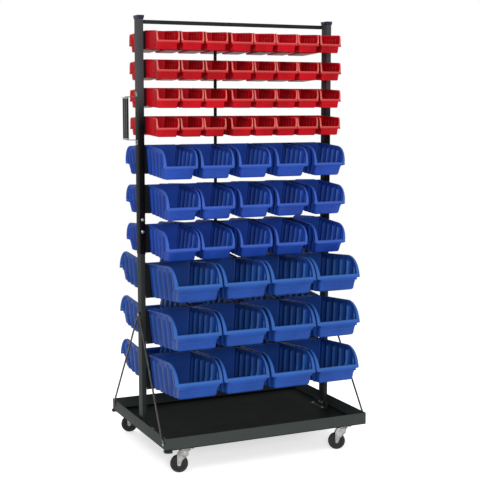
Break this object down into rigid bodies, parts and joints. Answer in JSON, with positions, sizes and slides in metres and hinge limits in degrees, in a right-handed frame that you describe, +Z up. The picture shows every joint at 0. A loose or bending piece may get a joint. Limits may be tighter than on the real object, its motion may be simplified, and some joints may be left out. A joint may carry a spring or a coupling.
{
  "type": "mobile bin cart",
  "caption": "Two-sided mobile bin cart: hanging open-front bins in rows between two uprights on a lipped tray with swivel casters and a push handle.",
  "frame": {"origin": "on the ground under the middle of the cart's bounding box", "axes": "+Z up, +X along the rails towards the end without the handle, -Y towards the front rows of bins"},
  "size_m": [1.0096, 0.718, 1.8935],
  "materials": {
    "grey_paint": "semi-gloss dark grey powder coat",
    "black_paint": "semi-gloss black powder coat",
    "rail_paint": "matt black paint",
    "zinc": "bright zinc plate",
    "rubber": "matt dark grey rubber tread",
    "cap_plastic": "satin moulded plastic",
    "grip_plastic": "fluted soft-touch plastic",
    "red_plastic": "glossy moulded polypropylene",
    "blue_plastic": "glossy moulded polypropylene",
    "deep_blue_plastic": "glossy moulded polypropylene"
  },
  "bodies": {
    "frame": {"tray": "grey_paint", "upright_left_lower": "grey_paint", "upright_left_upper": "black_paint", "cap_left": "cap_plastic", "upright_right_lower": "grey_paint", "upright_right_upper": "black_paint", "cap_right": "cap_plastic", "top_rail": "grey_paint", "center_strut": "rail_paint", "rail_small_1": "rail_paint", "rail_small_2": "rail_paint", "rail_small_3": "rail_paint", "rail_small_4": "rail_paint", "rail_medium_1": "rail_paint", "rail_medium_2": "rail_paint", "rail_medium_3": "rail_paint", "rail_large_1": "rail_paint", "rail_large_2": "rail_paint", "rail_large_3": "rail_paint", "handle_strap": "zinc", "handle_grip": "grip_plastic", "brace_rod_left_front": "zinc", "brace_rod_left_rear": "zinc", "foot_bracket_left": "grey_paint", "brace_rod_right_front": "zinc", "brace_rod_right_rear": "zinc", "foot_bracket_right": "grey_paint", "caster_plate_left_front": "zinc", "caster_plate_left_rear": "zinc", "caster_plate_right_front": "zinc", "caster_plate_right_rear": "zinc"},
    "fork_left_front": {"caster_fork_left_front": "zinc"},
    "wheel_left_front": {"caster_wheel_left_front": "rubber"},
    "fork_left_rear": {"caster_fork_left_rear": "zinc"},
    "wheel_left_rear": {"caster_wheel_left_rear": "rubber"},
    "fork_right_front": {"caster_fork_right_front": "zinc"},
    "wheel_right_front": {"caster_wheel_right_front": "rubber"},
    "fork_right_rear": {"caster_fork_right_rear": "zinc"},
    "wheel_right_rear": {"caster_wheel_right_rear": "rubber"},
    "row_small_1_front": {"bins_small_1_front": "red_plastic"},
    "row_small_1_rear": {"bins_small_1_rear": "red_plastic"},
    "row_small_2_front": {"bins_small_2_front": "red_plastic"},
    "row_small_2_rear": {"bins_small_2_rear": "red_plastic"},
    "row_small_3_front": {"bins_small_3_front": "red_plastic"},
    "row_small_3_rear": {"bins_small_3_rear": "red_plastic"},
    "row_small_4_front": {"bins_small_4_front": "red_plastic"},
    "row_small_4_rear": {"bins_small_4_rear": "red_plastic"},
    "row_medium_1_front": {"bins_medium_1_front": "blue_plastic"},
    "row_medium_1_rear": {"bins_medium_1_rear": "blue_plastic"},
    "row_medium_2_front": {"bins_medium_2_front": "blue_plastic"},
    "row_medium_2_rear": {"bins_medium_2_rear": "blue_plastic"},
    "row_medium_3_front": {"bins_medium_3_front": "blue_plastic"},
    "row_medium_3_rear": {"bins_medium_3_rear": "blue_plastic"},
    "row_large_1_front": {"bins_large_1_front": "deep_blue_plastic"},
    "row_large_1_rear": {"bins_large_1_rear": "deep_blue_plastic"},
    "row_large_2_front": {"bins_large_2_front": "deep_blue_plastic"},
    "row_large_2_rear": {"bins_large_2_rear": "deep_blue_plastic"},
    "row_large_3_front": {"bins_large_3_front": "deep_blue_plastic"},
    "row_large_3_rear": {"bins_large_3_rear": "deep_blue_plastic"}
  },
  "joints": [
    {"name": "swivel_left_front", "type": "hinge", "parent": "frame", "child": "fork_left_front", "pos_m": [-0.3548, -0.317, 0.0977], "axis": [0, 0, 1], "continuous": true},
    {"name": "roll_left_front", "type": "hinge", "parent": "fork_left_front", "child": "wheel_left_front", "pos_m": [-0.38082, -0.30665, 0.0375], "axis": [-0.3697, -0.9291, 0], "continuous": true},
    {"name": "swivel_left_rear", "type": "hinge", "parent": "frame", "child": "fork_left_rear", "pos_m": [-0.3548, 0.317, 0.0977], "axis": [0, 0, 1], "continuous": true},
    {"name": "roll_left_rear", "type": "hinge", "parent": "fork_left_rear", "child": "wheel_left_rear", "pos_m": [-0.38082, 0.32735, 0.0375], "axis": [-0.3697, -0.9291, 0], "continuous": true},
    {"name": "swivel_right_front", "type": "hinge", "parent": "frame", "child": "fork_right_front", "pos_m": [0.3972, -0.317, 0.0977], "axis": [0, 0, 1], "continuous": true},
    {"name": "roll_right_front", "type": "hinge", "parent": "fork_right_front", "child": "wheel_right_front", "pos_m": [0.37118, -0.30665, 0.0375], "axis": [-0.3697, -0.9291, 0], "continuous": true},
    {"name": "swivel_right_rear", "type": "hinge", "parent": "frame", "child": "fork_right_rear", "pos_m": [0.3972, 0.317, 0.0977], "axis": [0, 0, 1], "continuous": true},
    {"name": "roll_right_rear", "type": "hinge", "parent": "fork_right_rear", "child": "wheel_right_rear", "pos_m": [0.37118, 0.32735, 0.0375], "axis": [-0.3697, -0.9291, 0], "continuous": true},
    {"name": "lift_small_1_front", "type": "slide", "parent": "frame", "child": "row_small_1_front", "axis": [0, -0.0523, 0.9986], "range_m": [0, 0.01]},
    {"name": "lift_small_1_rear", "type": "slide", "parent": "frame", "child": "row_small_1_rear", "axis": [0, 0.0523, 0.9986], "range_m": [0, 0.01]},
    {"name": "lift_small_2_front", "type": "slide", "parent": "frame", "child": "row_small_2_front", "axis": [0, -0.0523, 0.9986], "range_m": [0, 0.01]},
    {"name": "lift_small_2_rear", "type": "slide", "parent": "frame", "child": "row_small_2_rear", "axis": [0, 0.0523, 0.9986], "range_m": [0, 0.01]},
    {"name": "lift_small_3_front", "type": "slide", "parent": "frame", "child": "row_small_3_front", "axis": [0, -0.0523, 0.9986], "range_m": [0, 0.01]},
    {"name": "lift_small_3_rear", "type": "slide", "parent": "frame", "child": "row_small_3_rear", "axis": [0, 0.0523, 0.9986], "range_m": [0, 0.01]},
    {"name": "lift_small_4_front", "type": "slide", "parent": "frame", "child": "row_small_4_front", "axis": [0, -0.0523, 0.9986], "range_m": [0, 0.01]},
    {"name": "lift_small_4_rear", "type": "slide", "parent": "frame", "child": "row_small_4_rear", "axis": [0, 0.0523, 0.9986], "range_m": [0, 0.01]},
    {"name": "lift_medium_1_front", "type": "slide", "parent": "frame", "child": "row_medium_1_front", "axis": [0, -0.061, 0.9981], "range_m": [0, 0.01]},
    {"name": "lift_medium_1_rear", "type": "slide", "parent": "frame", "child": "row_medium_1_rear", "axis": [0, 0.061, 0.9981], "range_m": [0, 0.01]},
    {"name": "lift_medium_2_front", "type": "slide", "parent": "frame", "child": "row_medium_2_front", "axis": [0, -0.061, 0.9981], "range_m": [0, 0.01]},
    {"name": "lift_medium_2_rear", "type": "slide", "parent": "frame", "child": "row_medium_2_rear", "axis": [0, 0.061, 0.9981], "range_m": [0, 0.01]},
    {"name": "lift_medium_3_front", "type": "slide", "parent": "frame", "child": "row_medium_3_front", "axis": [0, -0.061, 0.9981], "range_m": [0, 0.01]},
    {"name": "lift_medium_3_rear", "type": "slide", "parent": "frame", "child": "row_medium_3_rear", "axis": [0, 0.061, 0.9981], "range_m": [0, 0.01]},
    {"name": "lift_large_1_front", "type": "slide", "parent": "frame", "child": "row_large_1_front", "axis": [0, 0.0802, 0.9968], "range_m": [0, 0.01]},
    {"name": "lift_large_1_rear", "type": "slide", "parent": "frame", "child": "row_large_1_rear", "axis": [0, -0.0802, 0.9968], "range_m": [0, 0.01]},
    {"name": "lift_large_2_front", "type": "slide", "parent": "frame", "child": "row_large_2_front", "axis": [0, 0.0802, 0.9968], "range_m": [0, 0.01]},
    {"name": "lift_large_2_rear", "type": "slide", "parent": "frame", "child": "row_large_2_rear", "axis": [0, -0.0802, 0.9968], "range_m": [0, 0.01]},
    {"name": "lift_large_3_front", "type": "slide", "parent": "frame", "child": "row_large_3_front", "axis": [0, 0.0802, 0.9968], "range_m": [0, 0.01]},
    {"name": "lift_large_3_rear", "type": "slide", "parent": "frame", "child": "row_large_3_rear", "axis": [0, -0.0802, 0.9968], "range_m": [0, 0.01]}
  ]
}
